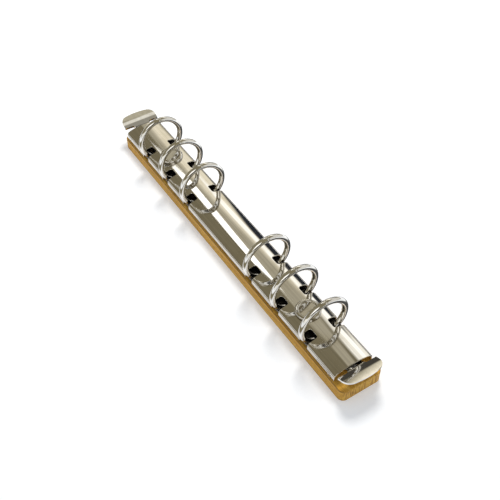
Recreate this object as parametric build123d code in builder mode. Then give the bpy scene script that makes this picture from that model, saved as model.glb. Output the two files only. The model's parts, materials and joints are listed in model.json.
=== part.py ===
"""Six-ring organiser mechanism on a wooden backing strip.

Millimetres. X runs along the strip, Y across it and Z up. The origin lies under the middle of
the ring pattern, on the underside of the strip. The rings are modelled closed.
"""

from build123d import *
import os
from math import asin, cos, radians, sin, sqrt

# Ring pattern and wire
ring_pitch = 19.0
group_spacing = 51.0
rings_per_group = 3
ring_mean_radius = 10.0
wire_diameter = 2.5
ring_foot_inset = 1.4
tip_gap = 0.06
nib_diameter = 1.2
nib_length = 0.6
nib_taper = 30.0
nib_clearance = 0.06
foot_sweep = 70.0

# Wooden backing strip
strip_thickness = 5.4
strip_left_margin = 2.1
strip_right_margin = 6.1
strip_side_margin = 0.6
strip_corner_radius = 2.5
strip_edge_chamfer = 0.25

# Arched sheet cover
cover_end_margin = 19.1
cover_width = 17.7
cover_height = 5.0
cover_flank_height = 3.4
cover_sheet = 0.6
cover_shoulder_radius = 2.0
hem_height = 1.2
hem_reach = 0.75
hem_round = 0.5
slot_width = 4.7
slot_depth = 4.95
slot_round = 1.0

# Toggle blades under the cover
blade_thickness = 0.7
blade_end_gap = 5.7
blade_inner_gap = 0.5
blade_rest_slope = 4.0
blade_ear_width = 3.2
blade_ear_reach = 0.5
blade_ear_round = 0.5
hinge_clearance = 0.04

# Riveted feet of the half rings
tenon_diameter = 1.3
tenon_clearance = 0.02
tenon_head_diameter = 2.0
tenon_head_height = 0.3

# Thumb levers
lever_sheet = 0.8
lever_pivot_inset = 3.0
lever_pivot_height = 1.3
lever_root_lift = 1.4
lever_root_run = 0.6
lever_trunnion_diameter = 1.5
lever_trunnion_recess = 0.1
lever_ear_gap = 1.2
lever_ear_thickness = 0.7
lever_ear_radius = 1.0
lever_ear_length = 1.2
lever_ear_depth = 0.4
lever_reach = 8.0
lever_rise_angle = 31.0
lever_root_radius = 6.0
lever_crown_radius = 24.0
lever_head_inset = 0.15
lever_neck_width = 7.4
lever_notch_length = 5.4
lever_notch_inset = 1.8
lever_notch_round = 1.2
lever_corner_radius = 3.8
lever_edge_bow = 1.2
finger_length = 6.2
finger_width = 3.0
finger_thickness = 0.6
finger_ramp = 2.0
finger_floor_gap = 0.07

# Mounting rivets
rivet_shank_diameter = 4.0
rivet_hole_clearance = 0.05
rivet_blade_clearance = 0.9
rivet_head_diameter = 10.4
rivet_head_height = 1.3
rivet_rim_width = 1.5
rivet_dish_depth = 0.45
rivet_dish_round = 0.4
rivet_edge_round = 0.9
rivet_tail_diameter = 7.0
rivet_tail_height = 0.7
rivet_tail_recess = 0.5
rivet_tail_clearance = 0.3

# Cuts run past the faces they open by this much
overrun = 2.0

# Angles
quarter_turn = 90.0

# Places worked out from the sizes above
strip_top = strip_thickness
cover_top = strip_top + cover_height
wire_radius = wire_diameter / 2
cover_half_width = cover_width / 2
cover_inner_half_width = cover_half_width - cover_sheet
arch_rise = cover_height - cover_flank_height
arch_radius = (cover_half_width**2 + arch_rise**2) / (2 * arch_rise)
group_places = [(number - (rings_per_group - 1) / 2) * ring_pitch for number in range(rings_per_group)]
group_centre = group_spacing / 2 + (rings_per_group - 1) / 2 * ring_pitch
ring_places = [side * group_centre + place for side in (-1, 1) for place in group_places]
cover_end = ring_places[-1] + cover_end_margin
strip_length = 2 * cover_end + strip_left_margin + strip_right_margin
strip_width = cover_width + 2 * strip_side_margin
strip_middle = (strip_right_margin - strip_left_margin) / 2
rivet_offset = (ring_places[-2] + ring_places[-1]) / 2
rivet_places = [-rivet_offset, rivet_offset]

# The blades turn about the middle of their rounded outer edge, which lies on the hem
hinge_height = strip_top + hem_height + hinge_clearance + blade_thickness / 2
hinge_offset = cover_inner_half_width - hinge_clearance - blade_thickness / 2
blade_width = hinge_offset - blade_inner_gap / 2
blade_length = 2 * (cover_end - blade_end_gap)
slope = radians(blade_rest_slope)

# The wire's middle line meets the top of its blade a little inside the hinge
foot_height = hinge_height + blade_thickness / 2
ring_centre_height = foot_height + sqrt(ring_mean_radius**2 - (hinge_offset - ring_foot_inset) ** 2)

# The levers turn about trunnions in the cover's flanks
pivot_place = cover_end - lever_pivot_inset
pivot_height = strip_top + lever_pivot_height


def blade_plane(side):
    """Mid-plane of a closed blade: local x along the strip, local y inboard, origin on the hinge axis.

    The front blade has side -1, the rear blade side 1.
    """
    normal = (0, -side * sin(slope), cos(slope))
    return Plane(origin=(0, side * hinge_offset, hinge_height), x_dir=(-side, 0, 0), z_dir=normal)


# Wooden backing strip, drilled and counterbored from below for the rivets
with BuildPart() as backing_strip:
    with BuildSketch():
        with Locations((strip_middle, 0)):
            RectangleRounded(strip_length, strip_width, strip_corner_radius)
    extrude(amount=strip_thickness)
    chamfer(backing_strip.faces().sort_by(Axis.Z)[-1].edges(), strip_edge_chamfer)
    tail_seat_depth = rivet_tail_recess + rivet_tail_height
    with Locations(*[Location((place, 0, 0), (180, 0, 0)) for place in rivet_places]):
        CounterBoreHole(
            rivet_shank_diameter / 2 + rivet_hole_clearance,
            rivet_tail_diameter / 2 + rivet_tail_clearance,
            tail_seat_depth,
        )
backing_strip.part.label = "backing_strip"


def cover_outline(half_width, flank_top, crown, shoulder_radius):
    """Arched outline over the strip: two upright flanks under one arc, with rounded shoulders."""
    with BuildSketch() as outline:
        with BuildLine():
            Polyline(
                (-half_width, flank_top),
                (-half_width, strip_top),
                (half_width, strip_top),
                (half_width, flank_top),
            )
            ThreePointArc((half_width, flank_top), (0, crown), (-half_width, flank_top))
        make_face()
        fillet(outline.vertices().group_by(Axis.Y)[-1], shoulder_radius)
    return outline.sketch


# Arched cover: a bent sheet with hems along its feet, ring slots, and rivet and pivot holes
flank_top = strip_top + cover_flank_height
inner_crown = cover_top - cover_sheet
inner_arch_radius = arch_radius - cover_sheet
inner_flank_top = inner_crown - inner_arch_radius + sqrt(inner_arch_radius**2 - cover_inner_half_width**2)
with BuildPart() as cover_plate:
    with BuildSketch(Plane.YZ):
        add(cover_outline(cover_half_width, flank_top, cover_top, cover_shoulder_radius))
        inner_shoulder_radius = cover_shoulder_radius - cover_sheet
        hollow = cover_outline(cover_inner_half_width, inner_flank_top, inner_crown, inner_shoulder_radius)
        add(hollow, mode=Mode.SUBTRACT)
    extrude(amount=cover_end, both=True)
    with BuildSketch(Plane.YZ) as hem_section:
        with Locations((cover_inner_half_width - hem_reach / 2, strip_top + hem_height / 2)):
            Rectangle(hem_reach, hem_height)
        fillet(hem_section.vertices().group_by(Axis.Y)[-1].sort_by(Axis.X)[0], hem_round)
        mirror(about=Plane.YZ)
    extrude(amount=blade_length / 2, both=True)
    slot_run = slot_depth + overrun
    slot_middle = cover_half_width - slot_depth + slot_run / 2
    with BuildSketch(Plane.XY.offset(strip_top - overrun)):
        for side in (-1, 1):
            with Locations(*[(place, side * slot_middle) for place in ring_places]):
                RectangleRounded(slot_width, slot_run, slot_round)
    extrude(amount=cover_height + 2 * overrun, mode=Mode.SUBTRACT)
    with Locations(*[(place, 0, cover_top) for place in rivet_places]):
        Hole(rivet_shank_diameter / 2 + rivet_hole_clearance)
    with BuildSketch(Plane.XZ):
        with Locations((-pivot_place, pivot_height), (pivot_place, pivot_height)):
            Circle(lever_trunnion_diameter / 2 + hinge_clearance)
    extrude(amount=cover_half_width + overrun, both=True, mode=Mode.SUBTRACT)
cover_plate.part.label = "cover_plate"


# Toggle blade: a flat strip with a rounded hinge edge and an ear under each ring foot
def toggle_blade(side, label):
    """One closed blade, cut out round the rivets, with a riveting hole in each ear."""
    ear_length = blade_ear_reach + blade_thickness
    with BuildPart() as blade:
        with BuildSketch(Plane.YZ):
            with Locations((side * hinge_offset, hinge_height)):
                Circle(blade_thickness / 2)
        extrude(amount=blade_length / 2, both=True)
        with BuildSketch(blade_plane(side)) as blade_outline:
            with Locations(*[(place, blade_thickness - ear_length / 2) for place in ring_places]):
                Rectangle(blade_ear_width, ear_length)
            fillet(blade_outline.vertices().group_by(Axis.Y)[0], blade_ear_round)
            with Locations((0, blade_width / 2)):
                Rectangle(blade_length, blade_width)
        extrude(amount=blade_thickness / 2, both=True)
        with BuildSketch(blade_plane(side)):
            with Locations(*[(place, ring_foot_inset) for place in ring_places]):
                Circle(tenon_diameter / 2 + tenon_clearance)
        extrude(amount=blade_thickness + overrun, both=True, mode=Mode.SUBTRACT)
        with Locations(*[(place, 0, hinge_height) for place in rivet_places]):
            Cylinder(
                rivet_shank_diameter / 2 + rivet_blade_clearance, cover_height + overrun, mode=Mode.SUBTRACT
            )
    blade.part.label = label
    return blade.part


# Half ring: a bent wire, cut flat on its blade's ear and riveted through it
def half_ring(side, place, label):
    """One half ring at a place along the strip. The front tip has a nib, the rear tip its socket."""
    seat = blade_plane(side).offset(blade_thickness / 2)
    ring_centre = (0, 0, ring_centre_height)
    tip_turn = asin(tip_gap / 2 / ring_mean_radius)
    tip_plane = Plane(origin=ring_centre, x_dir=(1, 0, 0), z_dir=(0, cos(tip_turn), -side * sin(tip_turn)))
    with BuildPart() as ring:
        with BuildSketch(tip_plane):
            with Locations((place, -ring_mean_radius)):
                Circle(wire_radius)
        revolve(axis=Axis(ring_centre, (-side, 0, 0)), revolution_arc=quarter_turn + foot_sweep)
        split(bisect_by=seat, keep=Keep.TOP)
        with BuildSketch(seat):
            with Locations((-side * place, ring_foot_inset)):
                Circle(tenon_diameter / 2)
        extrude(amount=-blade_thickness)
        with BuildSketch(seat.offset(-blade_thickness)):
            with Locations((-side * place, ring_foot_inset)):
                Circle(tenon_head_diameter / 2)
        extrude(amount=-tenon_head_height)
        with BuildSketch(tip_plane):
            with Locations((place, -ring_mean_radius)):
                Circle(nib_diameter / 2 if side < 0 else nib_diameter / 2 + nib_clearance)
        if side < 0:
            extrude(amount=nib_length, taper=nib_taper)
        else:
            extrude(amount=nib_length + nib_clearance, taper=nib_taper, mode=Mode.SUBTRACT)
    ring.part.label = label
    return ring.part


# Thumb lever: one bent sheet with a crowned head, a notched neck, two pivot ears and a lifting finger
root_height = pivot_height + lever_root_lift
finger_height = strip_top + finger_floor_gap + finger_thickness / 2
rim_place = cover_end + lever_reach
lever_head_width = cover_width - 2 * lever_head_inset
notch_place = cover_end - lever_notch_inset + lever_notch_length / 2
ear_outer = cover_inner_half_width - lever_ear_gap
with BuildPart() as lever:
    with BuildSketch(Plane.XZ):
        with BuildLine():
            root_line = Line((pivot_place, root_height), (pivot_place + lever_root_run, root_height))
            bend = JernArc(root_line @ 1, root_line % 1, lever_root_radius, lever_rise_angle)
            crown = JernArc(bend @ 1, bend % 1, lever_crown_radius, -lever_rise_angle)
            PolarLine(crown @ 1, overrun, 0)
            offset(amount=lever_sheet / 2)
        make_face()
    extrude(amount=lever_head_width / 2, both=True)
    with BuildSketch() as lever_outline:
        with BuildLine():
            Polyline(
                (rim_place - lever_edge_bow, lever_head_width / 2),
                (notch_place, lever_head_width / 2),
                (notch_place, -lever_head_width / 2),
                (rim_place - lever_edge_bow, -lever_head_width / 2),
            )
            ThreePointArc(
                (rim_place - lever_edge_bow, -lever_head_width / 2),
                (rim_place, 0),
                (rim_place - lever_edge_bow, lever_head_width / 2),
            )
        make_face()
        fillet(lever_outline.vertices().group_by(Axis.X)[-1], lever_corner_radius)
        with Locations(((pivot_place - overrun + notch_place) / 2, 0)):
            Rectangle(notch_place - pivot_place + overrun, 2 * ear_outer)
        notch_middle = (lever_neck_width + lever_head_width) / 2
        with Locations((notch_place, -notch_middle), (notch_place, notch_middle)):
            RectangleRounded(lever_notch_length, lever_head_width, lever_notch_round, mode=Mode.SUBTRACT)
    extrude(amount=cover_top + lever_reach, mode=Mode.INTERSECT)
    for side in (-1, 1):
        with BuildSketch(Plane.XZ.offset(side * ear_outer)):
            with Locations((pivot_place, pivot_height)):
                Circle(lever_ear_radius)
            ear_top = root_height + lever_sheet / 2
            ear_bottom = pivot_height - lever_ear_depth
            with Locations((pivot_place + lever_ear_length / 2, (ear_top + ear_bottom) / 2)):
                Rectangle(lever_ear_length, ear_top - ear_bottom)
        extrude(amount=-side * lever_ear_thickness)
        with BuildSketch(Plane.XZ.offset(side * ear_outer)):
            with Locations((pivot_place, pivot_height)):
                Circle(lever_trunnion_diameter / 2)
        extrude(amount=side * (cover_half_width - lever_trunnion_recess - ear_outer))
    with BuildSketch(Plane.XZ):
        with BuildLine():
            Polyline(
                (pivot_place, root_height),
                (pivot_place - finger_ramp, finger_height),
                (pivot_place - finger_length + finger_thickness / 2, finger_height),
            )
            offset(amount=finger_thickness / 2)
        make_face()
    extrude(amount=finger_width / 2, both=True)
lever_right = lever.part
lever_right.label = "lever_right"
lever_left = mirror(lever.part, about=Plane.YZ)
lever_left.label = "lever_left"


# Mounting rivet: a dished head on the cover, a shank and a clinched tail sunk in the strip
def mounting_rivet(place, label):
    """One clinched rivet at a place along the strip."""
    head_radius = rivet_head_diameter / 2
    head_top = cover_top + rivet_head_height
    dish_radius = head_radius - rivet_rim_width
    dish_floor = head_top - rivet_dish_depth
    tail_top = rivet_tail_recess + rivet_tail_height
    with BuildPart() as rivet:
        with BuildSketch(Plane.XZ.shift_origin((place, 0, 0))) as half_section:
            with BuildLine():
                Polyline(
                    (0, rivet_tail_recess),
                    (rivet_tail_diameter / 2, rivet_tail_recess),
                    (rivet_tail_diameter / 2, tail_top),
                    (rivet_shank_diameter / 2, tail_top),
                    (rivet_shank_diameter / 2, cover_top),
                    (head_radius, cover_top),
                    (head_radius, head_top),
                    (dish_radius, head_top),
                    (dish_radius, dish_floor),
                    (0, dish_floor),
                    (0, rivet_tail_recess),
                )
            make_face()
            fillet(half_section.vertices().group_by(Axis.Y)[-1].sort_by(Axis.X)[-1], rivet_edge_round)
            fillet(half_section.vertices().group_by(Axis.Y)[-1].sort_by(Axis.X)[0], rivet_dish_round)
        revolve(axis=Axis((place, 0, 0), (0, 0, 1)))
    rivet.part.label = label
    return rivet.part


os.makedirs("parts", exist_ok=True)
pieces = [backing_strip.part, cover_plate.part, lever_left, lever_right]
for place, name in zip(rivet_places, ("left", "right")):
    pieces.append(mounting_rivet(place, f"mounting_rivet_{name}"))
for side, name in ((-1, "front"), (1, "rear")):
    pieces.append(toggle_blade(side, f"toggle_blade_{name}"))
    for number, place in enumerate(ring_places, start=1):
        pieces.append(half_ring(side, place, f"half_ring_{name}_{number}"))
for piece in pieces:
    export_step(piece, f"parts/{piece.label}.step")
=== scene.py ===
"""Ring binder mechanism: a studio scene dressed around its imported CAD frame.

Metres. X runs along the strip, Y across it and Z up, as in the frame. Sizes that the frame doesn't
give are fields of the class that uses them, written in millimetres times MM.
"""

import json
import logging
import math
from dataclasses import dataclass
from enum import Enum
from typing import Any, Sequence

import bmesh
import bpy
from bmesh.types import BMEdge, BMesh, BMVert
from bpy.types import Material, Node, NodeSocket, NodeTree, Object
from mathutils import Matrix, Vector

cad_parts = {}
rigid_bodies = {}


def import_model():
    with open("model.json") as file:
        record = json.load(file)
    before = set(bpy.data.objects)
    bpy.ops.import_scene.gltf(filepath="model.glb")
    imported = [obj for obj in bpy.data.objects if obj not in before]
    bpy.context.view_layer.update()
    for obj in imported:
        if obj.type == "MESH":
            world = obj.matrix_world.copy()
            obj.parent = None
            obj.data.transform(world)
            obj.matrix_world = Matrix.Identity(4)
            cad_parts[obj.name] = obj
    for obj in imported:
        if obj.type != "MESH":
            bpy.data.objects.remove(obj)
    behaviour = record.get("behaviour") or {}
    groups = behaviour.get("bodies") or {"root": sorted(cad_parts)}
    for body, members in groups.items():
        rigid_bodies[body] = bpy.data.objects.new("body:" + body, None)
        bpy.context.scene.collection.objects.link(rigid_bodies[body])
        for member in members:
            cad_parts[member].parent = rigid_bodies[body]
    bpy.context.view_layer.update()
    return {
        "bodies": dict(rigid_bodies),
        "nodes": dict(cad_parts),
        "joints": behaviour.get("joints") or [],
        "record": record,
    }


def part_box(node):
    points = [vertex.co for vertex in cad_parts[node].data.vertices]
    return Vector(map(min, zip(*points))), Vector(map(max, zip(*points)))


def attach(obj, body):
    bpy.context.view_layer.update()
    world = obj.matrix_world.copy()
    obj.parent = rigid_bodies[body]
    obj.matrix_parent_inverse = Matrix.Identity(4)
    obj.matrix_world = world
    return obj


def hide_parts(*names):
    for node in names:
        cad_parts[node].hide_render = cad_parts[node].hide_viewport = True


Colour = tuple[float, float, float, float]

LOG = logging.getLogger("ring_binder_mechanism")
MM = 0.001
MERGE_DISTANCE = 0.001 * MM
ROUND_PROFILE = 0.5
WHITE: Colour = (1.0, 1.0, 1.0, 1.0)
ROOM_TONE: Colour = (0.23, 0.20, 0.127, 1.0)


class Slot(Enum):
    """The record's material slots."""

    NICKEL = "nickel_plate"
    STEEL = "spring_steel"
    WOOD = "strip_wood"


class Jaw(Enum):
    """The two rows of half rings, by the sign of the side of the strip that they stand on."""

    FRONT = -1
    REAR = 1


class End(Enum):
    """The two ends of the strip, by the sign of X."""

    LEFT = -1
    RIGHT = 1


class Grain(Enum):
    """How a metal surface was worked, by the scale of its lines along each axis."""

    LENGTHWISE = (60.0, 5200.0, 5200.0)
    EVEN = (1400.0, 1400.0, 1400.0)
    ROLLED = (40.0, 3000.0, 3000.0)


# Wiring of node trees


class Wiring:
    """Adds and joins the nodes of one node tree."""

    def __init__(self, tree: NodeTree) -> None:
        """Takes the tree to work on."""
        self.tree = tree

    def add(self, kind: str, **settings: Any) -> Node:
        """Add a node.

        Args:
            kind: the node's type name.
            settings: properties of the node to set.

        Returns:
            The new node.
        """
        node = self.tree.nodes.new(kind)
        for name, value in settings.items():
            setattr(node, name, value)
        return node

    def feed(self, node: Node, **sources: Any) -> Node:
        """Give sockets their values or links.

        Args:
            node: the node whose inputs are fed.
            sources: an output socket or a plain value for each input, named as on the node with
                spaces as underscores, or as i and its number.

        Returns:
            The same node.
        """
        for name, source in sources.items():
            key: Any = int(name[1:]) if name[0] == "i" and name[1:].isdigit() else name.replace("_", " ")
            if isinstance(source, NodeSocket):
                self.tree.links.new(source, node.inputs[key])
            else:
                node.inputs[key].default_value = source
        return node

    def math(self, operation: str, *values: Any) -> NodeSocket:
        """Work out a number from sockets or plain numbers, given in order."""
        node = self.add("ShaderNodeMath", operation=operation)
        return self.feed(node, **{f"i{number}": value for number, value in enumerate(values)}).outputs[0]

    def blend(self, factor: Any, first: Any, second: Any, how: str = "MIX") -> NodeSocket:
        """Mix two colours, of which the second shows as far as the factor says."""
        node = self.add("ShaderNodeMix", data_type="RGBA", blend_type=how)
        return self.feed(node, i0=factor, i6=first, i7=second).outputs[2]

    def spread(self, value: Any, low: Any, high: Any, to_low: Any = 0.0, to_high: Any = 1.0) -> NodeSocket:
        """Map a number smoothly from one range to another."""
        node = self.add("ShaderNodeMapRange", interpolation_type="SMOOTHSTEP")
        return self.feed(node, i0=value, i1=low, i2=high, i3=to_low, i4=to_high).outputs[0]

    def noise(self, vector: Any, octaves: float, fineness: float, scale: Any = 1.0) -> NodeSocket:
        """Read a noise, whose finer octaves count by the fineness."""
        node = self.add("ShaderNodeTexNoise")
        return self.feed(node, Vector=vector, Scale=scale, Detail=octaves, Roughness=fineness).outputs[0]

    def bump(self, strength: float, depth: float, height: NodeSocket) -> NodeSocket:
        """Bend the surface's normal by a height."""
        node = self.add("ShaderNodeBump")
        return self.feed(node, Strength=strength, Distance=depth, Height=height).outputs[0]

    def stretched(self, vector: Any, scale: Any) -> NodeSocket:
        """Scale a vector along each axis."""
        node = self.add("ShaderNodeVectorMath", operation="MULTIPLY")
        return self.feed(node, i0=vector, i1=scale).outputs[0]

    def split(self, vector: NodeSocket) -> Any:
        """Take a vector apart into the outputs X, Y and Z."""
        return self.feed(self.add("ShaderNodeSeparateXYZ"), Vector=vector).outputs


def node_group(name: str, inputs: dict[str, str], outputs: dict[str, str]) -> tuple[Wiring, Any, Any]:
    """Start a shader node group.

    Args:
        name: the group's name.
        inputs: socket type by input name.
        outputs: socket type by output name.

    Returns:
        The group's wiring, its input node's outputs and its output node.
    """
    tree = bpy.data.node_groups.new(name, "ShaderNodeTree")
    for label, kind in inputs.items():
        tree.interface.new_socket(name=label, in_out="INPUT", socket_type=kind)
    for label, kind in outputs.items():
        tree.interface.new_socket(name=label, in_out="OUTPUT", socket_type=kind)
    wiring = Wiring(tree)
    return wiring, wiring.add("NodeGroupInput").outputs, wiring.add("NodeGroupOutput")


def principled(name: str) -> tuple[Wiring, Node]:
    """Start a material.

    Args:
        name: the material's name.

    Returns:
        Its wiring and its Principled BSDF node.
    """
    material = bpy.data.materials.new(name)
    material.use_nodes = True
    return Wiring(material.node_tree), material.node_tree.nodes["Principled BSDF"]


# Finishes


@dataclass(frozen=True)
class Polishing:
    """What polishing and handling leave on metal: fine lines, broad streaks and faint haze."""

    line_octaves: float = 4.0
    line_fineness: float = 0.65
    streak_scale: float = 0.24
    streak_octaves: float = 3.0
    streak_fineness: float = 0.6
    haze_octaves: float = 4.0
    haze_fineness: float = 0.6
    haze_range: tuple[float, float] = (0.42, 0.72)

    def group(self) -> NodeTree:
        """Build the node group that the metals share.

        Returns:
            The group, with Lines, Streaks and Haze as its outputs.
        """
        number, vector = "NodeSocketFloat", "NodeSocketVector"
        wiring, given, result = node_group(
            "polishing",
            {"Vector": vector, "Along": vector, "Haze Scale": number},
            {"Lines": number, "Streaks": number, "Haze": number},
        )
        along = wiring.stretched(given["Vector"], given["Along"])
        lines = wiring.noise(along, self.line_octaves, self.line_fineness)
        streaks = wiring.noise(along, self.streak_octaves, self.streak_fineness, self.streak_scale)
        haze = wiring.noise(given["Vector"], self.haze_octaves, self.haze_fineness, given["Haze Scale"])
        wiring.feed(result, Lines=lines, Streaks=streaks, Haze=wiring.spread(haze, *self.haze_range))
        return wiring.tree


@dataclass(frozen=True)
class MetalFinish:
    """A metal surface, lined and streaked by its working and faintly hazed.

    The values given here are those of bright nickel plate.
    """

    name: str
    grain: Grain
    colour: Colour = (0.72, 0.70, 0.66, 1.0)
    hazed_colour: Colour = (0.67, 0.64, 0.58, 1.0)
    roughness: float = 0.03
    hazed_roughness: float = 0.08
    line_roughness: float = 0.03
    line_depth: float = 0.012 * MM
    line_strength: float = 0.10
    streak_range: tuple[float, float] = (0.38, 0.62)
    streak_shade: float = 0.90
    haze_scale: float = 120.0

    def material(self, polishing: NodeTree) -> Material:
        """Build the material.

        Args:
            polishing: the shared polishing group.

        Returns:
            The material.
        """
        wiring, shader = principled(self.name)
        place = wiring.add("ShaderNodeTexCoord").outputs["Object"]
        worked = wiring.add("ShaderNodeGroup", node_tree=polishing)
        wiring.feed(worked, Vector=place, Along=self.grain.value, Haze_Scale=self.haze_scale)
        lines, haze = worked.outputs["Lines"], worked.outputs["Haze"]
        rough = wiring.spread(haze, 0.0, 1.0, self.roughness, self.hazed_roughness)
        shade = wiring.spread(worked.outputs["Streaks"], *self.streak_range, self.streak_shade, 1.0)
        metal = wiring.blend(haze, self.colour, self.hazed_colour)
        wiring.feed(
            shader,
            Base_Color=wiring.blend(1.0, metal, shade, "MULTIPLY"),
            Roughness=wiring.math("MULTIPLY_ADD", lines, self.line_roughness, rough),
            Metallic=1.0,
            Normal=wiring.bump(self.line_strength, self.line_depth, lines),
        )
        return bpy.data.materials[self.name]


SHEET_PLATE = MetalFinish("nickel plate on sheet", Grain.LENGTHWISE)
RIVET_PLATE = MetalFinish("nickel plate on rivets", Grain.EVEN)
WIRE_PLATE = MetalFinish(
    "nickel plate on wire",
    Grain.EVEN,
    colour=(0.88, 0.87, 0.84, 1.0),
    hazed_colour=(0.82, 0.80, 0.76, 1.0),
)
ROLLED_STEEL = MetalFinish(
    "rolled spring steel",
    Grain.ROLLED,
    colour=(0.14, 0.135, 0.13, 1.0),
    hazed_colour=(0.22, 0.21, 0.20, 1.0),
    roughness=0.30,
    hazed_roughness=0.30,
    line_roughness=0.15,
    line_depth=0.02 * MM,
    line_strength=0.2,
    streak_shade=1.0,
    haze_scale=160.0,
)


@dataclass(frozen=True)
class GrainLayer:
    """One layer of wood grain: a stretched noise, the range of it that shows and how strongly."""

    stretch: tuple[float, float, float]
    octaves: float
    fineness: float
    low: float
    high: float
    strength: float = 1.0

    def read(self, wiring: Wiring, place: NodeSocket) -> NodeSocket:
        """Read the layer's noise at a place."""
        return wiring.noise(wiring.stretched(place, self.stretch), self.octaves, self.fineness)

    def mask(self, wiring: Wiring, noise: NodeSocket) -> NodeSocket:
        """Turn the layer's noise into how strongly it shows."""
        return wiring.spread(noise, self.low, self.high, 0.0, self.strength)


@dataclass(frozen=True)
class WoodFinish:
    """Oiled orange-brown wood with its grain along the strip, with painted shade on its sides just under
    the top, where the cover shades them.
    """

    name: str = "oiled strip wood"
    light: Colour = (0.82, 0.48, 0.085, 1.0)
    middle: Colour = (0.64, 0.33, 0.04, 1.0)
    dark: Colour = (0.24, 0.10, 0.015, 1.0)
    end_dark: Colour = (0.36, 0.15, 0.02, 1.0)
    # Painted shade: the colour and the band of heights where the sides darken under the cover's hem
    painted_shade: Colour = (0.20, 0.085, 0.015, 1.0)
    painted_shade_heights: tuple[float, float] = (4.7 * MM, 5.15 * MM)
    bands: GrainLayer = GrainLayer((14.0, 420.0, 700.0), 3.0, 0.55, 0.35, 0.68)
    fibres: GrainLayer = GrainLayer((90.0, 4200.0, 4200.0), 4.0, 0.6, 0.52, 0.74, 0.55)
    pores: GrainLayer = GrainLayer((260.0, 6500.0, 6500.0), 2.0, 0.5, 0.60, 0.70, 0.75)
    rays: GrainLayer = GrainLayer((1200.0, 2600.0, 240.0), 3.0, 0.6, 0.42, 0.66)
    end_facing: tuple[float, float] = (0.6, 0.85)
    fibre_depth: float = 0.06 * MM
    fibre_strength: float = 0.35
    fibre_roughness: float = 0.2
    roughness: float = 0.48
    shine: float = 0.35

    def material(self) -> Material:
        """Build the material.

        Returns:
            The material.
        """
        wiring, shader = principled(self.name)
        coordinates = wiring.add("ShaderNodeTexCoord")
        place = coordinates.outputs["Object"]
        fibres, rays = self.fibres.read(wiring, place), self.rays.read(wiring, place)
        bands = self.bands.mask(wiring, self.bands.read(wiring, place))
        pores = self.pores.mask(wiring, self.pores.read(wiring, place))
        colour = wiring.blend(bands, self.middle, self.light)
        colour = wiring.blend(self.fibres.mask(wiring, fibres), colour, self.dark)
        colour = wiring.blend(pores, colour, self.dark)
        end_colour = wiring.blend(self.rays.mask(wiring, rays), self.light, self.end_dark)
        facing = wiring.split(coordinates.outputs["Normal"])
        is_side = wiring.math("ABSOLUTE", facing["Y"])
        # Painted shade: the sides darken towards their top edge, where the cover casts its shadow
        shaded_under_cover = wiring.spread(wiring.split(place)["Z"], *self.painted_shade_heights)
        colour = wiring.blend(wiring.math("MULTIPLY", is_side, shaded_under_cover), colour, self.painted_shade)
        is_end = wiring.spread(wiring.math("ABSOLUTE", facing["X"]), *self.end_facing)
        height = wiring.math("ADD", fibres, wiring.math("MULTIPLY", rays, is_end))
        wiring.feed(
            shader,
            Base_Color=wiring.blend(is_end, colour, end_colour),
            Roughness=wiring.math("MULTIPLY_ADD", fibres, self.fibre_roughness, self.roughness),
            Specular_IOR_Level=self.shine,
            Normal=wiring.bump(self.fibre_strength, self.fibre_depth, height),
        )
        return bpy.data.materials[self.name]


class Finishes:
    """All materials of the mechanism, each built once."""

    def __init__(self) -> None:
        """Builds the shared group and the materials."""
        polishing = Polishing().group()
        self.sheet = SHEET_PLATE.material(polishing)
        self.rivet = RIVET_PLATE.material(polishing)
        self.wire = WIRE_PLATE.material(polishing)
        self.steel = ROLLED_STEEL.material(polishing)
        self.wood = WoodFinish().material()


# Modelling helpers


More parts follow.
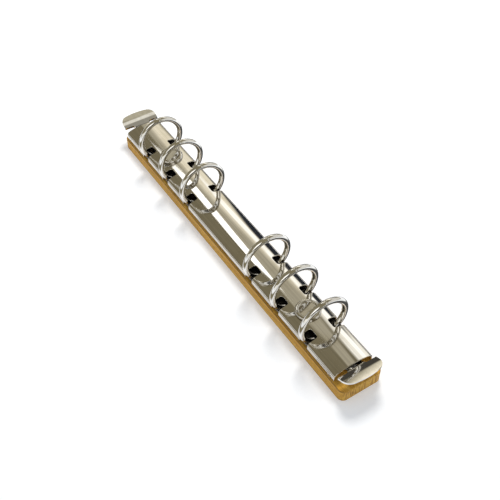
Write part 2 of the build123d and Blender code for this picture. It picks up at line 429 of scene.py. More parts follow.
class Outline:
    """A flat outline drawn point by point, with across and up as its axes, then pulled or turned."""

    def __init__(self, across: float, up: float) -> None:
        """Starts the outline at a point."""
        self.mesh = bmesh.new()
        self.first = self.mesh.verts.new((across, up, 0.0))
        self.pen = self.first

    def line(self, across: float, up: float) -> "Outline":
        """Draw a straight line to a point.

        Args:
            across: the point's first coordinate.
            up: its second coordinate.

        Returns:
            The outline.
        """
        drawn = bmesh.ops.extrude_vert_indiv(self.mesh, verts=[self.pen])
        self.pen = drawn["verts"][0]
        self.pen.co = (across, up, 0.0)
        return self

    def arc(self, across: float, up: float, degrees: float, steps: int) -> "Outline":
        """Draw an arc from the pen.

        Args:
            across: the centre's first coordinate.
            up: its second coordinate.
            degrees: how far it turns, anticlockwise where positive.
            steps: its number of segments.

        Returns:
            The outline.
        """
        drawn = bmesh.ops.spin(
            self.mesh,
            geom=[self.pen],
            cent=(across, up, 0.0),
            axis=(0.0, 0.0, 1.0),
            angle=math.radians(degrees),
            steps=steps,
        )
        self.pen = next(item for item in drawn["geom_last"] if isinstance(item, BMVert))
        return self

    def pulled(self, depth: float, placing: Matrix) -> BMesh:
        """Close the outline and pull it into a solid, half to each side of its plane.

        Args:
            depth: the solid's depth.
            placing: turns and moves the solid into place.

        Returns:
            The solid.
        """
        self.line(*self.first.co[:2])
        bmesh.ops.remove_doubles(self.mesh, verts=self.mesh.verts[:], dist=MERGE_DISTANCE)
        face = bmesh.ops.contextual_create(self.mesh, geom=self.mesh.edges[:])["faces"]
        bmesh.ops.translate(self.mesh, verts=self.mesh.verts[:], vec=(0.0, 0.0, -depth / 2))
        raised = bmesh.ops.extrude_face_region(self.mesh, geom=face, use_keep_orig=True)
        top = [item for item in raised["geom"] if isinstance(item, BMVert)]
        bmesh.ops.translate(self.mesh, verts=top, vec=(0.0, 0.0, depth))
        return self.placed(placing)

    def turned(self, steps: int, placing: Matrix) -> BMesh:
        """Turn the outline once round its up axis.

        Args:
            steps: the number of steps of the full turn.
            placing: turns and moves the solid into place.

        Returns:
            The solid.
        """
        bmesh.ops.spin(
            self.mesh,
            geom=self.mesh.verts[:] + self.mesh.edges[:],
            cent=(0.0, 0.0, 0.0),
            axis=(0.0, 1.0, 0.0),
            angle=2 * math.pi,
            steps=steps,
            use_merge=True,
        )
        bmesh.ops.remove_doubles(self.mesh, verts=self.mesh.verts[:], dist=MERGE_DISTANCE)
        return self.placed(placing)

    def placed(self, placing: Matrix) -> BMesh:
        """Move the finished solid into place, with its faces outwards.

        Args:
            placing: turns and moves the solid.

        Returns:
            The solid.
        """
        bmesh.ops.transform(self.mesh, matrix=placing, verts=self.mesh.verts[:])
        bmesh.ops.recalc_face_normals(self.mesh, faces=self.mesh.faces[:])
        return self.mesh


@dataclass(frozen=True)
class Shoulder:
    """A rounded corner between an upright flank and an arc that spans both flanks."""

    half_width: float
    arc_radius: float
    arc_centre: float
    radius: float

    @property
    def up(self) -> float:
        """Height of the rounding's centre, where the flank ends."""
        reach = self.arc_radius - self.radius
        return self.arc_centre + math.sqrt(reach**2 - (self.half_width - self.radius) ** 2)

    def draw(self, outline: Outline, way: int, corner_steps: int, arc_steps: int) -> None:
        """Draw shoulder, arc and shoulder from the pen at the end of one flank.

        Args:
            outline: the outline, with its pen at the first flank's end.
            way: 1 from the positive flank to the negative, -1 the other way.
            corner_steps: segments of each shoulder.
            arc_steps: segments of the arc.
        """
        across = self.half_width - self.radius
        lean = math.degrees(math.atan2(across, self.up - self.arc_centre))
        outline.arc(way * across, self.up, way * (90.0 - lean), corner_steps)
        outline.arc(0.0, self.arc_centre, way * 2 * lean, arc_steps)
        outline.arc(-way * across, self.up, way * (90.0 - lean), corner_steps)


def axes(across: Sequence[float], up: Sequence[float], origin: Sequence[float] = (0.0, 0.0, 0.0)) -> Matrix:
    """Make the matrix that lays an outline's plane into the frame.

    Args:
        across: the outline's first axis.
        up: its second axis.
        origin: where its zero lies.

    Returns:
        The matrix.
    """
    first, second = Vector(across), Vector(up)
    turned = Matrix((first, second, first.cross(second))).transposed().to_4x4()
    return Matrix.Translation(origin) @ turned


ALONG_X = axes((0.0, 1.0, 0.0), (0.0, 0.0, 1.0))
ALONG_Y = axes((1.0, 0.0, 0.0), (0.0, 0.0, 1.0))
LAID_ACROSS = Matrix.Rotation(math.pi / 2, 4, "X")


def add_rod(mesh: BMesh, radius: float, length: float, sides: int, placing: Matrix) -> None:
    """Add a round rod to a bmesh, placed from upright with its middle at the origin."""
    bmesh.ops.create_cone(
        mesh, cap_ends=True, segments=sides, radius1=radius, radius2=radius, depth=length, matrix=placing
    )


def take_in(target: BMesh, other: BMesh) -> None:
    """Add another bmesh to a bmesh and free it.

    Args:
        target: the bmesh that grows.
        other: the bmesh that is used up.
    """
    spare = bpy.data.meshes.new("spare")
    other.to_mesh(spare)
    other.free()
    target.from_mesh(spare)
    bpy.data.meshes.remove(spare)


def to_object(mesh: BMesh, name: str) -> Object:
    """Make an object of a bmesh and free the bmesh.

    Args:
        mesh: the finished bmesh.
        name: the object's name.

    Returns:
        The object, linked to the scene.
    """
    data = bpy.data.meshes.new(name)
    mesh.to_mesh(data)
    mesh.free()
    piece = bpy.data.objects.new(name, data)
    bpy.context.scene.collection.objects.link(piece)
    return piece


def carve(piece: Object, cutter: Object, operation: str) -> None:
    """Cut a piece with another shape, which is used up.

    Args:
        piece: the piece that is changed.
        cutter: the shape that cuts it.
        operation: the Boolean modifier's operation.
    """
    change = piece.modifiers.new("carve", "BOOLEAN")
    change.operation, change.object, change.solver = operation, cutter, "EXACT"
    graph = bpy.context.evaluated_depsgraph_get()
    carved = bpy.data.meshes.new_from_object(piece.evaluated_get(graph))
    piece.modifiers.remove(change)
    old, piece.data = piece.data, carved
    carved.name = piece.name
    bpy.data.meshes.remove(old)
    bpy.data.objects.remove(cutter)


@dataclass(frozen=True)
class Softening:
    """How a piece's sharp edges are broken, or kept crisp where the width is zero."""

    width: float
    segments: int = 2
    least_angle: float = 35.0
    clamped: bool = True

    def apply(self, piece: Object) -> None:
        """Shade a piece smoothly and break its edges with a live bevel.

        Args:
            piece: the piece.
        """
        piece.data.shade_smooth()
        if self.width:
            bevel = piece.modifiers.new("broken edges", "BEVEL")
            bevel.width, bevel.segments, bevel.profile = self.width, self.segments, ROUND_PROFILE
            bevel.limit_method, bevel.angle_limit = "ANGLE", math.radians(self.least_angle)
            bevel.harden_normals, bevel.miter_outer = True, "MITER_ARC"
            bevel.use_clamp_overlap = self.clamped
        else:
            piece.data.set_sharp_from_angle(angle=math.radians(self.least_angle))


def dress(piece: Object, body: str, material: Material, node: str) -> None:
    """Give a new piece its finish, its body and the node that it stands for.

    Args:
        piece: the new piece.
        body: the body that it rides on.
        material: its material.
        node: the CAD node that it stands for.
    """
    piece.data.materials.clear()
    piece.data.materials.append(material)
    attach(piece, body)
    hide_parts(node)
    LOG.info("%s stands for %s on %s", piece.name, node, body)


@dataclass(frozen=True)
class FrameSizes:
    """Places and sizes that several pieces share, read from the frame."""

    strip_top: float
    cover_half_width: float
    cover_top: float
    cover_end: float
    ring_places: tuple[float, ...]
    wire_radius: float
    ring_radius: float
    ring_centre: float
    hinge_offset: float
    hinge_height: float
    pivot_place: float
    pivot_height: float

    @classmethod
    def read(cls, frame: dict[str, Any]) -> "FrameSizes":
        """Read the sizes from the boxes of the nodes and from the joints.


        Returns:
            The sizes.
        """
        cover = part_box("cover_plate")[1]
        numbers = sorted(name for name in frame["nodes"] if name.startswith("half_ring_rear_"))
        rings = [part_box(name) for name in numbers]
        low, high = rings[0]
        wire_radius = (high.x - low.x) / 2
        joints = {joint["name"]: joint["pos_m"] for joint in frame["joints"]}
        hinge, pivot = joints["rear_jaw_swing"], joints["right_lever_press"]
        return cls(
            strip_top=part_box("backing_strip")[1].z,
            cover_half_width=cover.y,
            cover_top=cover.z,
            cover_end=cover.x,
            ring_places=tuple((ring[0].x + ring[1].x) / 2 for ring in rings),
            wire_radius=wire_radius,
            ring_radius=high.y - wire_radius,
            ring_centre=high.z - high.y,
            hinge_offset=hinge[1],
            hinge_height=hinge[2],
            pivot_place=pivot[0],
            pivot_height=pivot[2],
        )


# The mechanism's pieces


@dataclass
class ArchedCover:
    """The arched sheet cover with hems along its feet and a slot for each ring foot."""

    sizes: FrameSizes
    sheet: float = 0.6 * MM
    flank_height: float = 3.4 * MM
    shoulder_radius: float = 2.0 * MM
    hem_height: float = 1.2 * MM
    hem_reach: float = 0.75 * MM
    hem_end_gap: float = 5.7 * MM
    hem_cut_rise: float = 0.1 * MM
    slot_width: float = 4.7 * MM
    slot_depth: float = 4.95 * MM
    slot_round: float = 1.0 * MM
    pivot_radius: float = 0.79 * MM
    overrun: float = 2.0 * MM
    arch_steps: int = 22
    shoulder_steps: int = 16
    slot_steps: int = 8
    pivot_sides: int = 32
    edges: Softening = Softening(0.22 * MM, 3, clamped=False)

    def section(self) -> Outline:
        """Draw the bent sheet's cross-section, its hems included.

        Returns:
            The open outline, which ends where its last straight line to the start begins.
        """
        size = self.sizes
        half, foot = size.cover_half_width, size.strip_top
        rise = size.cover_top - foot - self.flank_height
        radius = (half**2 + rise**2) / (2 * rise)
        middle = size.cover_top - radius
        outer = Shoulder(half, radius, middle, self.shoulder_radius)
        inner = Shoulder(half - self.sheet, radius - self.sheet, middle, self.shoulder_radius - self.sheet)
        hem_edge, hem_top = half - self.sheet - self.hem_reach, foot + self.hem_height
        outline = Outline(half, foot).line(half, outer.up)
        outer.draw(outline, 1, self.shoulder_steps, self.arch_steps)
        outline.line(-half, foot).line(-hem_edge, foot).line(-hem_edge, hem_top)
        outline.line(self.sheet - half, hem_top).line(self.sheet - half, inner.up)
        inner.draw(outline, -1, self.shoulder_steps, self.arch_steps)
        outline.line(half - self.sheet, hem_top).line(hem_edge, hem_top).line(hem_edge, foot)
        return outline

    def cutters(self) -> BMesh:
        """Make what is cut out of the bent sheet first.

        Returns:
            The ring slots and the ends of the hems.
        """
        size, half = self.sizes, self.sizes.cover_half_width
        tall = size.cover_top - size.strip_top + 2 * self.overrun
        level = (size.cover_top + size.strip_top) / 2
        radius = self.slot_width / 2
        inner = half - self.slot_depth + self.slot_round
        turn = radius - self.slot_round
        cuts = bmesh.new()
        for place in size.ring_places:
            for jaw in Jaw:
                slot = Outline(radius, half + self.overrun).line(radius, inner)
                slot.arc(turn, inner, -90.0, self.slot_steps).line(-turn, inner - self.slot_round)
                slot.arc(-turn, inner, -90.0, self.slot_steps).line(-radius, half + self.overrun)
                lay = axes((jaw.value, 0.0, 0.0), (0.0, jaw.value, 0.0), (place, 0.0, level))
                take_in(cuts, slot.pulled(tall, lay))
        run = self.hem_end_gap + self.overrun
        middle = size.cover_end - self.hem_end_gap + run / 2
        clear = half - self.sheet
        low, high = size.strip_top - self.overrun, size.strip_top + self.hem_height + self.hem_cut_rise
        for end in End:
            block = Outline(-clear, low).line(clear, low).line(clear, high).line(-clear, high)
            lay = Matrix.Translation((end.value * middle, 0.0, 0.0)) @ ALONG_X
            take_in(cuts, block.pulled(run, lay))
        return cuts

    def pivot_drills(self) -> BMesh:
        """Make the drills for the levers' pivot holes.

        Returns:
            One drill through both flanks for each end.
        """
        size = self.sizes
        drills = bmesh.new()
        length = 2 * (size.cover_half_width + self.overrun)
        for end in End:
            at = Matrix.Translation((end.value * size.pivot_place, 0.0, size.pivot_height))
            add_rod(drills, self.pivot_radius, length, self.pivot_sides, at @ LAID_ACROSS)
        return drills

    def build(self, finishes: Finishes) -> None:
        """Model and dress the cover.

        Args:
            finishes: the materials.
        """
        solid = self.section().pulled(2 * self.sizes.cover_end, ALONG_X)
        piece = to_object(solid, "arched_cover")
        carve(piece, to_object(self.cutters(), "cover_cutters"), "DIFFERENCE")
        carve(piece, to_object(self.pivot_drills(), "pivot_drills"), "DIFFERENCE")
        self.edges.apply(piece)
        dress(piece, "base", finishes.sheet, "cover_plate")


@dataclass
class WireHalfRing:
    """One half ring of round wire, cut flat on its blade's ear, with a flat tip and a rounded rim."""

    sizes: FrameSizes
    jaw: Jaw
    number: int
    tip_gap: float = 0.06 * MM
    tip_round: float = 0.15 * MM
    blade_thickness: float = 0.7 * MM
    blade_slope: float = 4.0
    sweep: float = 160.0
    tenon_radius: float = 0.65 * MM
    tenon_head_radius: float = 1.0 * MM
    tenon_head_height: float = 0.3 * MM
    foot_inset: float = 1.4 * MM
    wire_sides: int = 32
    arc_steps: int = 72
    tip_steps: int = 3
    tenon_sides: int = 24
    edges: Softening = Softening(0.0)

    @property
    def place(self) -> float:
        """The ring's place along the strip."""
        return self.sizes.ring_places[self.number - 1]

    def seat(self) -> tuple[Vector, Vector]:
        """Find the top of the closed blade's ear.

        Returns:
            The point where the hinge's upright meets it, and its normal.
        """
        slope, side = math.radians(self.blade_slope), self.jaw.value
        normal = Vector((0.0, -side * math.sin(slope), math.cos(slope)))
        hinge = Vector((self.place, side * self.sizes.hinge_offset, self.sizes.hinge_height))
        return hinge + normal * self.blade_thickness / 2, normal

    def wire(self) -> BMesh:
        """Bend the wire from its tip round past its foot.

        Returns:
            The bent wire, with a flat face at each end.
        """
        size, side = self.sizes, self.jaw.value
        mesh = bmesh.new()
        centre = Vector((self.place, 0.0, size.ring_centre))
        turn = math.asin(self.tip_gap / 2 / size.ring_radius)
        bmesh.ops.create_circle(mesh, cap_ends=True, radius=size.wire_radius, segments=self.wire_sides)
        lay = Matrix.Translation(centre + Vector((0.0, 0.0, size.ring_radius)))
        lay = lay @ Matrix.Rotation(side * math.pi / 2, 4, "X")
        bmesh.ops.transform(mesh, matrix=lay, verts=mesh.verts[:])
        spun = Matrix.Rotation(-side * turn, 3, "X")
        bmesh.ops.rotate(mesh, cent=centre, matrix=spun, verts=mesh.verts[:])
        bmesh.ops.spin(
            mesh,
            geom=mesh.faces[:] + mesh.edges[:] + mesh.verts[:],
            cent=centre,
            axis=(1.0, 0.0, 0.0),
            angle=-side * math.radians(self.sweep),
            steps=self.arc_steps,
        )
        bmesh.ops.recalc_face_normals(mesh, faces=mesh.faces[:])
        return mesh

    def finish_tip(self, mesh: BMesh) -> None:
        """Round the rim of the wire's tip, the higher of its two end faces.

        Args:
            mesh: the bent wire.
        """
        ends = (face for face in mesh.faces if len(face.verts) == self.wire_sides)
        tip = max(ends, key=lambda face: face.calc_center_median().z)
        bmesh.ops.bevel(
            mesh,
            geom=list(tip.edges),
            offset=self.tip_round,
            segments=self.tip_steps,
            profile=ROUND_PROFILE,
            affect="EDGES",
            material=-1,
        )

    def seat_foot(self, mesh: BMesh) -> None:
        """Cut the wire flat on its blade and add the tenon that is riveted through the blade.

        Args:
            mesh: the bent wire.
        """
        on_blade, normal = self.seat()
        cut = bmesh.ops.bisect_plane(
            mesh,
            geom=mesh.verts[:] + mesh.edges[:] + mesh.faces[:],
            plane_co=on_blade,
            plane_no=normal,
            clear_inner=True,
        )
        edges = [item for item in cut["geom_cut"] if isinstance(item, BMEdge)]
        bmesh.ops.contextual_create(mesh, geom=edges)
        inward = Vector((0.0, -normal.z, normal.y)) * self.jaw.value
        middle = on_blade + inward * self.foot_inset
        lean = normal.to_track_quat("Z", "Y").to_matrix().to_4x4()
        for radius, top, depth in (
            (self.tenon_radius, 0.0, self.blade_thickness),
            (self.tenon_head_radius, self.blade_thickness, self.tenon_head_height),
        ):
            at = Matrix.Translation(middle - normal * (top + depth / 2)) @ lean
            add_rod(mesh, radius, depth, self.tenon_sides, at)

    def build(self, finishes: Finishes) -> None:
        """Model and dress the half ring.

        Args:
            finishes: the materials.
        """
        row = self.jaw.name.lower()
        mesh = self.wire()
        self.finish_tip(mesh)
        self.seat_foot(mesh)
        piece = to_object(mesh, f"wire_half_{row}_{self.number}")
        self.edges.apply(piece)
        dress(piece, f"{row}_jaw", finishes.wire, f"half_ring_{row}_{self.number}")


@dataclass
class ThumbLever:
    """A bent sheet lever with a crowned head, pivot ears, trunnions and a finger under the blades."""

    sizes: FrameSizes
    end: End
    sheet: float = 0.8 * MM
    root_lift: float = 1.4 * MM
    root_run: float = 0.6 * MM
    root_radius: float = 6.0 * MM
    rise_angle: float = 31.0
    crown_radius: float = 24.0 * MM
    reach: float = 8.0 * MM
    head_half_width: float = 8.7 * MM
    neck_half_width: float = 3.7 * MM
    notch_length: float = 3.6 * MM
    notch_round: float = 1.2 * MM
    notch_inset: float = 1.8 * MM
    corner_radius: float = 3.8 * MM
    edge_bow: float = 1.2 * MM
    ear_outer: float = 7.05 * MM
    ear_thickness: float = 0.7 * MM
    ear_radius: float = 1.0 * MM
    ear_length: float = 1.2 * MM
    ear_depth: float = 0.4 * MM
    trunnion_radius: float = 0.75 * MM
    trunnion_reach: float = 8.75 * MM
    finger_length: float = 6.2 * MM
    finger_width: float = 3.0 * MM
    finger_thickness: float = 0.6 * MM
    finger_ramp: float = 2.0 * MM
    finger_floor_gap: float = 0.07 * MM
    overrun: float = 2.0 * MM
    bend_steps: int = 14
    edges: Softening = Softening(0.28 * MM, 3)

    @property
    def root_height(self) -> float:
        """Height of the sheet's middle where the lever turns."""
        return self.sizes.pivot_height + self.root_lift

    @property
    def rim_place(self) -> float:
        """How far out the head's rim reaches."""
        return self.sizes.cover_end + self.reach

    def bent_sheet(self) -> BMesh:
        """Bend the lever's sheet, at its full width.

        Returns:
            The bent sheet, longer than the lever.
        """
        rise = math.radians(self.rise_angle)
        start, level, half = self.sizes.pivot_place, self.root_height, self.sheet / 2
        bend_centre = Vector((start + self.root_run, level + self.root_radius))
        square = Vector((-math.sin(rise), math.cos(rise)))
        crown_start = bend_centre - square * self.root_radius
        crown_centre = crown_start - square * self.crown_radius
        outline = Outline(start, level - half).line(bend_centre.x, level - half)
        outline.arc(*bend_centre, self.rise_angle, self.bend_steps)
        outline.arc(*crown_centre, -self.rise_angle, 2 * self.bend_steps)
        outline.line(crown_centre.x, crown_centre.y + self.crown_radius + half)
        outline.arc(*crown_centre, self.rise_angle, 2 * self.bend_steps)
        outline.arc(*bend_centre, -self.rise_angle, self.bend_steps)
        outline.line(start, level + half)
        return outline.pulled(2 * self.head_half_width, ALONG_Y)

    def plan(self) -> BMesh:
        """Draw the lever as seen from above: ears, notched neck and flared head.

        Returns:
            A tall solid of that outline.
        """
        half, bow = self.head_half_width, self.edge_bow
        rim_radius = (half**2 + bow**2) / (2 * bow)
        corner = Shoulder(half, rim_radius, self.rim_place - rim_radius, self.corner_radius)
        low = self.sizes.cover_end - self.notch_inset
        high = low + self.notch_length
        turn = self.neck_half_width + self.notch_round
        inner = self.sizes.pivot_place - self.overrun
        outline = Outline(self.ear_outer, inner).line(self.ear_outer, low).line(turn, low)
        outline.arc(turn, low + self.notch_round, -90.0, self.bend_steps)
        outline.line(self.neck_half_width, high - self.notch_round)
        outline.arc(turn, high - self.notch_round, -90.0, self.bend_steps)
        outline.line(half, high).line(half, corner.up)
        corner.draw(outline, 1, self.bend_steps, 2 * self.bend_steps)
        outline.line(-half, high).line(-turn, high)
        outline.arc(-turn, high - self.notch_round, -90.0, self.bend_steps)
        outline.line(-self.neck_half_width, low + self.notch_round)
        outline.arc(-turn, low + self.notch_round, -90.0, self.bend_steps)
        outline.line(-self.ear_outer, low).line(-self.ear_outer, inner)
        tall = 4 * self.reach
        return outline.pulled(tall, axes((0.0, 1.0, 0.0), (1.0, 0.0, 0.0)))

    def ears(self) -> BMesh:
        """Make the pivot ears, trunnions and lifting finger.

        Returns:
            Them as closed shapes that run into the sheet.
        """
        size = self.sizes
        mesh = bmesh.new()
        middle = self.ear_outer - self.ear_thickness / 2
        length = self.trunnion_reach - middle
        for side in (-1, 1):
            ear = Outline(size.pivot_place + self.ear_length, self.root_height)
            ear.line(size.pivot_place, size.pivot_height + self.ear_radius)
            ear.arc(size.pivot_place, size.pivot_height, 180.0, 2 * self.bend_steps)
            ear.line(size.pivot_place + self.ear_length, size.pivot_height - self.ear_depth)
            lay = Matrix.Translation((0.0, side * middle, 0.0)) @ ALONG_Y
            take_in(mesh, ear.pulled(self.ear_thickness, lay))
            at = Matrix.Translation((size.pivot_place, side * (middle + length / 2), size.pivot_height))
            add_rod(mesh, self.trunnion_radius, length, 2 * self.bend_steps, at @ LAID_ACROSS)
        low = size.strip_top + self.finger_floor_gap
        high, half = low + self.finger_thickness, self.finger_thickness / 2
        tip, ramp = size.pivot_place - self.finger_length, size.pivot_place - self.finger_ramp
        finger = Outline(tip, low).line(ramp, low)
        finger.line(size.pivot_place + self.finger_thickness, self.root_height - half)
        finger.line(size.pivot_place, self.root_height + half)
        finger.line(ramp, high).line(tip, high)
        take_in(mesh, finger.pulled(self.finger_width, ALONG_Y))
        return mesh

    def build(self, finishes: Finishes) -> None:
        """Model and dress the lever.

        Args:
            finishes: the materials.
        """
        which = self.end.name.lower()
        piece = to_object(self.bent_sheet(), f"thumb_lever_{which}")
        carve(piece, to_object(self.plan(), "lever_plan"), "INTERSECT")
        whole = bmesh.new()
        whole.from_mesh(piece.data)
        take_in(whole, self.ears())
        bmesh.ops.scale(whole, vec=(self.end.value, 1.0, 1.0), verts=whole.verts[:])
        bmesh.ops.recalc_face_normals(whole, faces=whole.faces[:])
        whole.to_mesh(piece.data)
        whole.free()
        self.edges.apply(piece)
        dress(piece, f"{which}_lever", finishes.wire, f"lever_{which}")


@dataclass
class DishedRivet:
    """A mounting rivet with a dished head on the cover and a clinched tail in the strip."""

    end: End
    head_height: float = 1.3 * MM
    rim_width: float = 1.5 * MM
    dish_depth: float = 0.45 * MM
    dish_round: float = 0.4 * MM
    dish_wall_lean: float = 0.08 * MM
    edge_round: float = 0.9 * MM
    shank_radius: float = 2.0 * MM
    tail_radius: float = 3.5 * MM
    tail_height: float = 0.7 * MM
    round_steps: int = 8
    turn_steps: int = 72
    edges: Softening = Softening(0.0, least_angle=15.0)

    def build(self, finishes: Finishes) -> None:
        """Model and dress the rivet.

        Args:
            finishes: the materials.
        """
        which = self.end.name.lower()
        low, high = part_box(f"mounting_rivet_{which}")
        radius, top, bottom = (high.x - low.x) / 2, high.z, low.z
        dish, floor, seat = radius - self.rim_width, top - self.dish_depth, top - self.head_height
        profile = Outline(0.0, floor).line(dish - self.dish_wall_lean, floor)
        profile.line(dish, top - self.dish_round)
        profile.arc(dish + self.dish_round, top - self.dish_round, -90.0, self.round_steps)
        profile.line(radius - self.edge_round, top)
        profile.arc(radius - self.edge_round, top - self.edge_round, -90.0, self.round_steps)
        profile.line(radius, seat).line(self.shank_radius, seat)
        profile.line(self.shank_radius, bottom + self.tail_height)
        profile.line(self.tail_radius, bottom + self.tail_height).line(self.tail_radius, bottom)
        profile.line(0.0, bottom)
        lay = axes((1.0, 0.0, 0.0), (0.0, 0.0, 1.0), ((low.x + high.x) / 2, 0.0, 0.0))
        piece = to_object(profile.turned(self.turn_steps, lay), f"dished_rivet_{which}")
        self.edges.apply(piece)
        dress(piece, "base", finishes.rivet, f"mounting_rivet_{which}")


# The studio


CARD_ANGLES = ("Azimuth", "Elevation", "Half Width", "Half Height", "Softness")


@dataclass(frozen=True)
class SoftCard:
    """A soft-edged card of light or shade round the studio, seen only in reflections.

    Its place, half sizes and softness are in degrees, with the azimuth from X towards Y.
    """

    name: str
    azimuth: float
    elevation: float
    half_width: float
    half_height: float
    softness: float
    colour: Colour

    def angles(self) -> dict[str, float]:
        """Give the card's angles in radians, by the names of the group's inputs."""
        degrees = (self.azimuth, self.elevation, self.half_width, self.half_height, self.softness)
        return dict(zip(CARD_ANGLES, map(math.radians, degrees)))


@dataclass(frozen=True)
class DimBand:
    """A band of the floor that looks dim in reflections, fading in and out across the part."""

    start: float
    full_from: float
    full_to: float
    end: float
    colour: Colour


def card_group() -> NodeTree:
    """Build the group that masks one soft card by its direction.

    Returns:
        The node group, with Mask as its output.
    """
    number = "NodeSocketFloat"
    inputs = {"Direction": "NodeSocketVector"} | dict.fromkeys(CARD_ANGLES, number)
    wiring, given, result = node_group("soft card", inputs, {"Mask": number})
    turned = wiring.add("ShaderNodeVectorRotate", rotation_type="Z_AXIS")
    wiring.feed(turned, Vector=given["Direction"], Angle=wiring.math("MULTIPLY", given["Azimuth"], -1.0))
    parts = wiring.split(turned.outputs[0])
    aside = wiring.math("ABSOLUTE", wiring.math("ARCTAN2", parts["Y"], parts["X"]))
    height = wiring.math("ARCSINE", parts["Z"])
    above = wiring.math("ABSOLUTE", wiring.math("SUBTRACT", height, given["Elevation"]))
    masks = []
    for value, limit in ((aside, given["Half Width"]), (above, given["Half Height"])):
        inside = wiring.math("SUBTRACT", limit, given["Softness"])
        masks.append(wiring.spread(value, inside, limit, 1.0, 0.0))
    wiring.feed(result, Mask=wiring.math("MULTIPLY", *masks))
    return wiring.tree


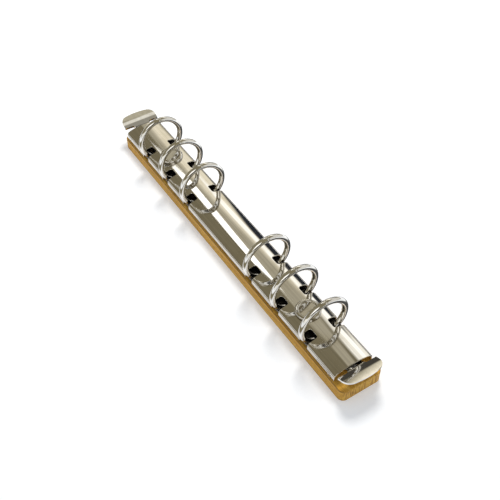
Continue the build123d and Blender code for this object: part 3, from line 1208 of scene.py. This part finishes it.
@dataclass
class Studio:
    """A pale floor, soft light and the camera at the photograph's angle."""

    azimuth: float = 57.21
    elevation: float = 47.31
    roll: float = -0.05
    distance: float = 327.95 * MM
    target: tuple[float, float, float] = (7.29 * MM, 3.71 * MM, 0.0)
    focal_pixels: float = 763.03
    image_pixels: float = 500.0
    sensor: float = 36.0
    nearest: float = 1.0 * MM
    floor_reach: float = 4.0
    floor_colour: Colour = (0.86, 0.87, 0.89, 1.0)
    floor_roughness: float = 0.9
    floor_lift: float = 0.24
    dim_bands: tuple[DimBand, ...] = (
        DimBand(-75.0 * MM, -45.0 * MM, -30.0 * MM, -19.0 * MM, ROOM_TONE),
        DimBand(11.0 * MM, 14.0 * MM, 34.0 * MM, 60.0 * MM, (0.08, 0.08, 0.078, 1.0)),
    )
    fill: Colour = (0.50, 0.525, 0.55, 1.0)
    key_azimuth: float = 140.0
    key_elevation: float = 58.0
    key_distance: float = 0.8
    key_size: float = 0.28
    key_power: float = 4.0
    key_colour: tuple[float, float, float] = (1.0, 0.97, 0.92)
    cards: tuple[SoftCard, ...] = (
        SoftCard("side wall", 65.0, 22.0, 45.0, 26.0, 12.0, (0.75, 0.73, 0.68, 1.0)),
        SoftCard("tan wall", 146.0, 47.0, 17.0, 16.0, 5.0, (0.50, 0.46, 0.35, 1.0)),
        SoftCard("tan ceiling", 133.0, 64.0, 19.0, 7.0, 4.0, (0.50, 0.46, 0.35, 1.0)),
        SoftCard("cream wall", 134.0, 30.0, 22.0, 15.0, 9.0, (1.12, 1.04, 0.84, 1.0)),
        SoftCard("window", 118.0, 33.0, 13.0, 17.0, 6.0, (1.25, 1.22, 1.12, 1.0)),
        SoftCard("window glare", 129.0, 34.0, 14.0, 5.0, 3.0, (1.6, 1.58, 1.5, 1.0)),
        SoftCard("dark doorway", 126.0, 10.0, 8.5, 21.5, 3.0, (0.030, 0.034, 0.042, 1.0)),
        SoftCard("strip light", 162.0, 49.6, 7.0, 6.6, 1.0, (2.2, 2.2, 2.15, 1.0)),
        SoftCard("dark far corner", 157.0, 9.0, 9.0, 14.0, 4.0, (0.06, 0.055, 0.045, 1.0)),
        SoftCard("grey ceiling", 77.0, 72.0, 23.0, 9.0, 3.0, (0.34, 0.32, 0.27, 1.0)),
        SoftCard("pale ceiling", 111.0, 72.0, 14.0, 9.0, 6.0, (0.86, 0.83, 0.74, 1.0)),
        SoftCard("dark ceiling", 57.0, 69.0, 10.0, 6.0, 3.0, (0.12, 0.11, 0.09, 1.0)),
        SoftCard("near wall", 300.0, 8.0, 44.0, 12.0, 4.0, (0.95, 0.93, 0.86, 1.0)),
        SoftCard("near window", 325.0, 46.0, 30.0, 20.0, 7.0, (1.4, 1.38, 1.32, 1.0)),
        SoftCard("dark near corner", 350.0, 17.0, 16.0, 15.0, 4.0, (0.05, 0.045, 0.035, 1.0)),
    )

    def set_camera(self) -> None:
        """Stand the camera where the photograph was taken from."""
        turn, lift, roll = (math.radians(angle) for angle in (self.azimuth, self.elevation, self.roll))
        back = Vector((math.sin(turn) * math.cos(lift), -math.cos(turn) * math.cos(lift), math.sin(lift)))
        right = Vector((math.cos(turn), math.sin(turn), 0.0))
        up = back.cross(right)
        tilted = right * math.cos(roll) + up * math.sin(roll)
        up = up * math.cos(roll) - right * math.sin(roll)
        camera = bpy.data.cameras.new("camera")
        camera.sensor_width = self.sensor
        camera.lens = self.sensor * self.focal_pixels / self.image_pixels
        camera.clip_start, camera.clip_end = self.nearest, 2 * self.floor_reach
        stand = bpy.data.objects.new("camera", camera)
        stand.matrix_world = (
            Matrix.Translation(Vector(self.target) + back * self.distance)
            @ Matrix((tilted, up, back)).transposed().to_4x4()
        )
        bpy.context.scene.collection.objects.link(stand)
        bpy.context.scene.camera = stand

    def lay_floor(self) -> None:
        """Lay the pale floor, which keeps the shadow and looks dim in some reflections."""
        mesh = bmesh.new()
        bmesh.ops.create_grid(mesh, x_segments=1, y_segments=1, size=self.floor_reach)
        floor = to_object(mesh, "floor")
        wiring, shader = principled("pale floor")
        path = wiring.add("ShaderNodeLightPath")
        mirrored = path.outputs["Is Glossy Ray"]
        seen = wiring.math("MAXIMUM", path.outputs["Is Camera Ray"], mirrored)
        wiring.feed(
            shader,
            Base_Color=self.floor_colour,
            Roughness=self.floor_roughness,
            Specular_IOR_Level=0.0,
            Emission_Color=WHITE,
            Emission_Strength=wiring.math("MULTIPLY", seen, self.floor_lift),
        )
        across = wiring.split(wiring.add("ShaderNodeTexCoord").outputs["Object"])["Y"]
        surface = shader.outputs[0]
        for band in self.dim_bands:
            fade_in = wiring.spread(across, band.start, band.full_from)
            fade_out = wiring.spread(across, band.full_to, band.end, 1.0, 0.0)
            share = wiring.math("MULTIPLY", wiring.math("MULTIPLY", fade_in, fade_out), mirrored)
            dim = wiring.feed(wiring.add("ShaderNodeEmission"), Color=band.colour)
            either = wiring.add("ShaderNodeMixShader")
            wiring.feed(either, i0=share, i1=surface, i2=dim.outputs[0])
            surface = either.outputs[0]
        wiring.feed(wiring.tree.nodes["Material Output"], Surface=surface)
        floor.data.materials.append(bpy.data.materials["pale floor"])

    def set_world(self) -> None:
        """Light the studio evenly, with white behind the object and cards in its reflections."""
        world = bpy.data.worlds.new("studio")
        world.use_nodes = True
        bpy.context.scene.world = world
        wiring = Wiring(world.node_tree)
        direction = wiring.add("ShaderNodeTexCoord").outputs["Generated"]
        colour: Any = ROOM_TONE
        group = card_group()
        for card in self.cards:
            mask = wiring.add("ShaderNodeGroup", node_tree=group, label=card.name)
            wiring.feed(mask, Direction=direction, **card.angles())
            colour = wiring.blend(mask.outputs["Mask"], colour, card.colour)
        path = wiring.add("ShaderNodeLightPath")
        colour = wiring.blend(path.outputs["Is Glossy Ray"], self.fill, colour)
        colour = wiring.blend(path.outputs["Is Camera Ray"], colour, WHITE)
        wiring.feed(wiring.tree.nodes["Background"], Color=colour, Strength=1.0)

    def hang_key(self) -> None:
        """Hang the soft key lamp behind the object."""
        lamp = bpy.data.lights.new("key", "AREA")
        lamp.shape, lamp.size, lamp.energy = "DISK", self.key_size, self.key_power
        lamp.color = self.key_colour
        stand = bpy.data.objects.new("key", lamp)
        turn, lift = math.radians(self.key_azimuth), math.radians(self.key_elevation)
        aim = Vector((math.cos(turn) * math.cos(lift), math.sin(turn) * math.cos(lift), math.sin(lift)))
        stand.matrix_world = (
            Matrix.Translation(aim * self.key_distance) @ aim.to_track_quat("Z", "Y").to_matrix().to_4x4()
        )
        stand.visible_glossy = False
        bpy.context.scene.collection.objects.link(stand)

    def build(self) -> None:
        """Set up floor, light and camera."""
        bpy.context.scene.view_settings.view_transform = "Standard"
        self.set_camera()
        self.lay_floor()
        self.set_world()
        self.hang_key()


def dress_node(node: Object, material: Material) -> None:
    """Give a CAD node that stays its material."""
    node.material_slots[0].material = material
    LOG.info("%s keeps its solid", node.name)


def main() -> None:
    """Build the mechanism's pieces in order, then the studio."""
    logging.basicConfig(level=logging.INFO)
    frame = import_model()
    sizes = FrameSizes.read(frame)
    finishes = Finishes()
    nodes = frame["nodes"]
    dress_node(nodes["backing_strip"], finishes.wood)
    for jaw in Jaw:
        dress_node(nodes[f"toggle_blade_{jaw.name.lower()}"], finishes.steel)
        for number in range(1, len(sizes.ring_places) + 1):
            WireHalfRing(sizes, jaw, number).build(finishes)
    ArchedCover(sizes).build(finishes)
    for end in End:
        ThumbLever(sizes, end).build(finishes)
        DishedRivet(end).build(finishes)
    Studio().build()


if __name__ == "__main__":
    main()
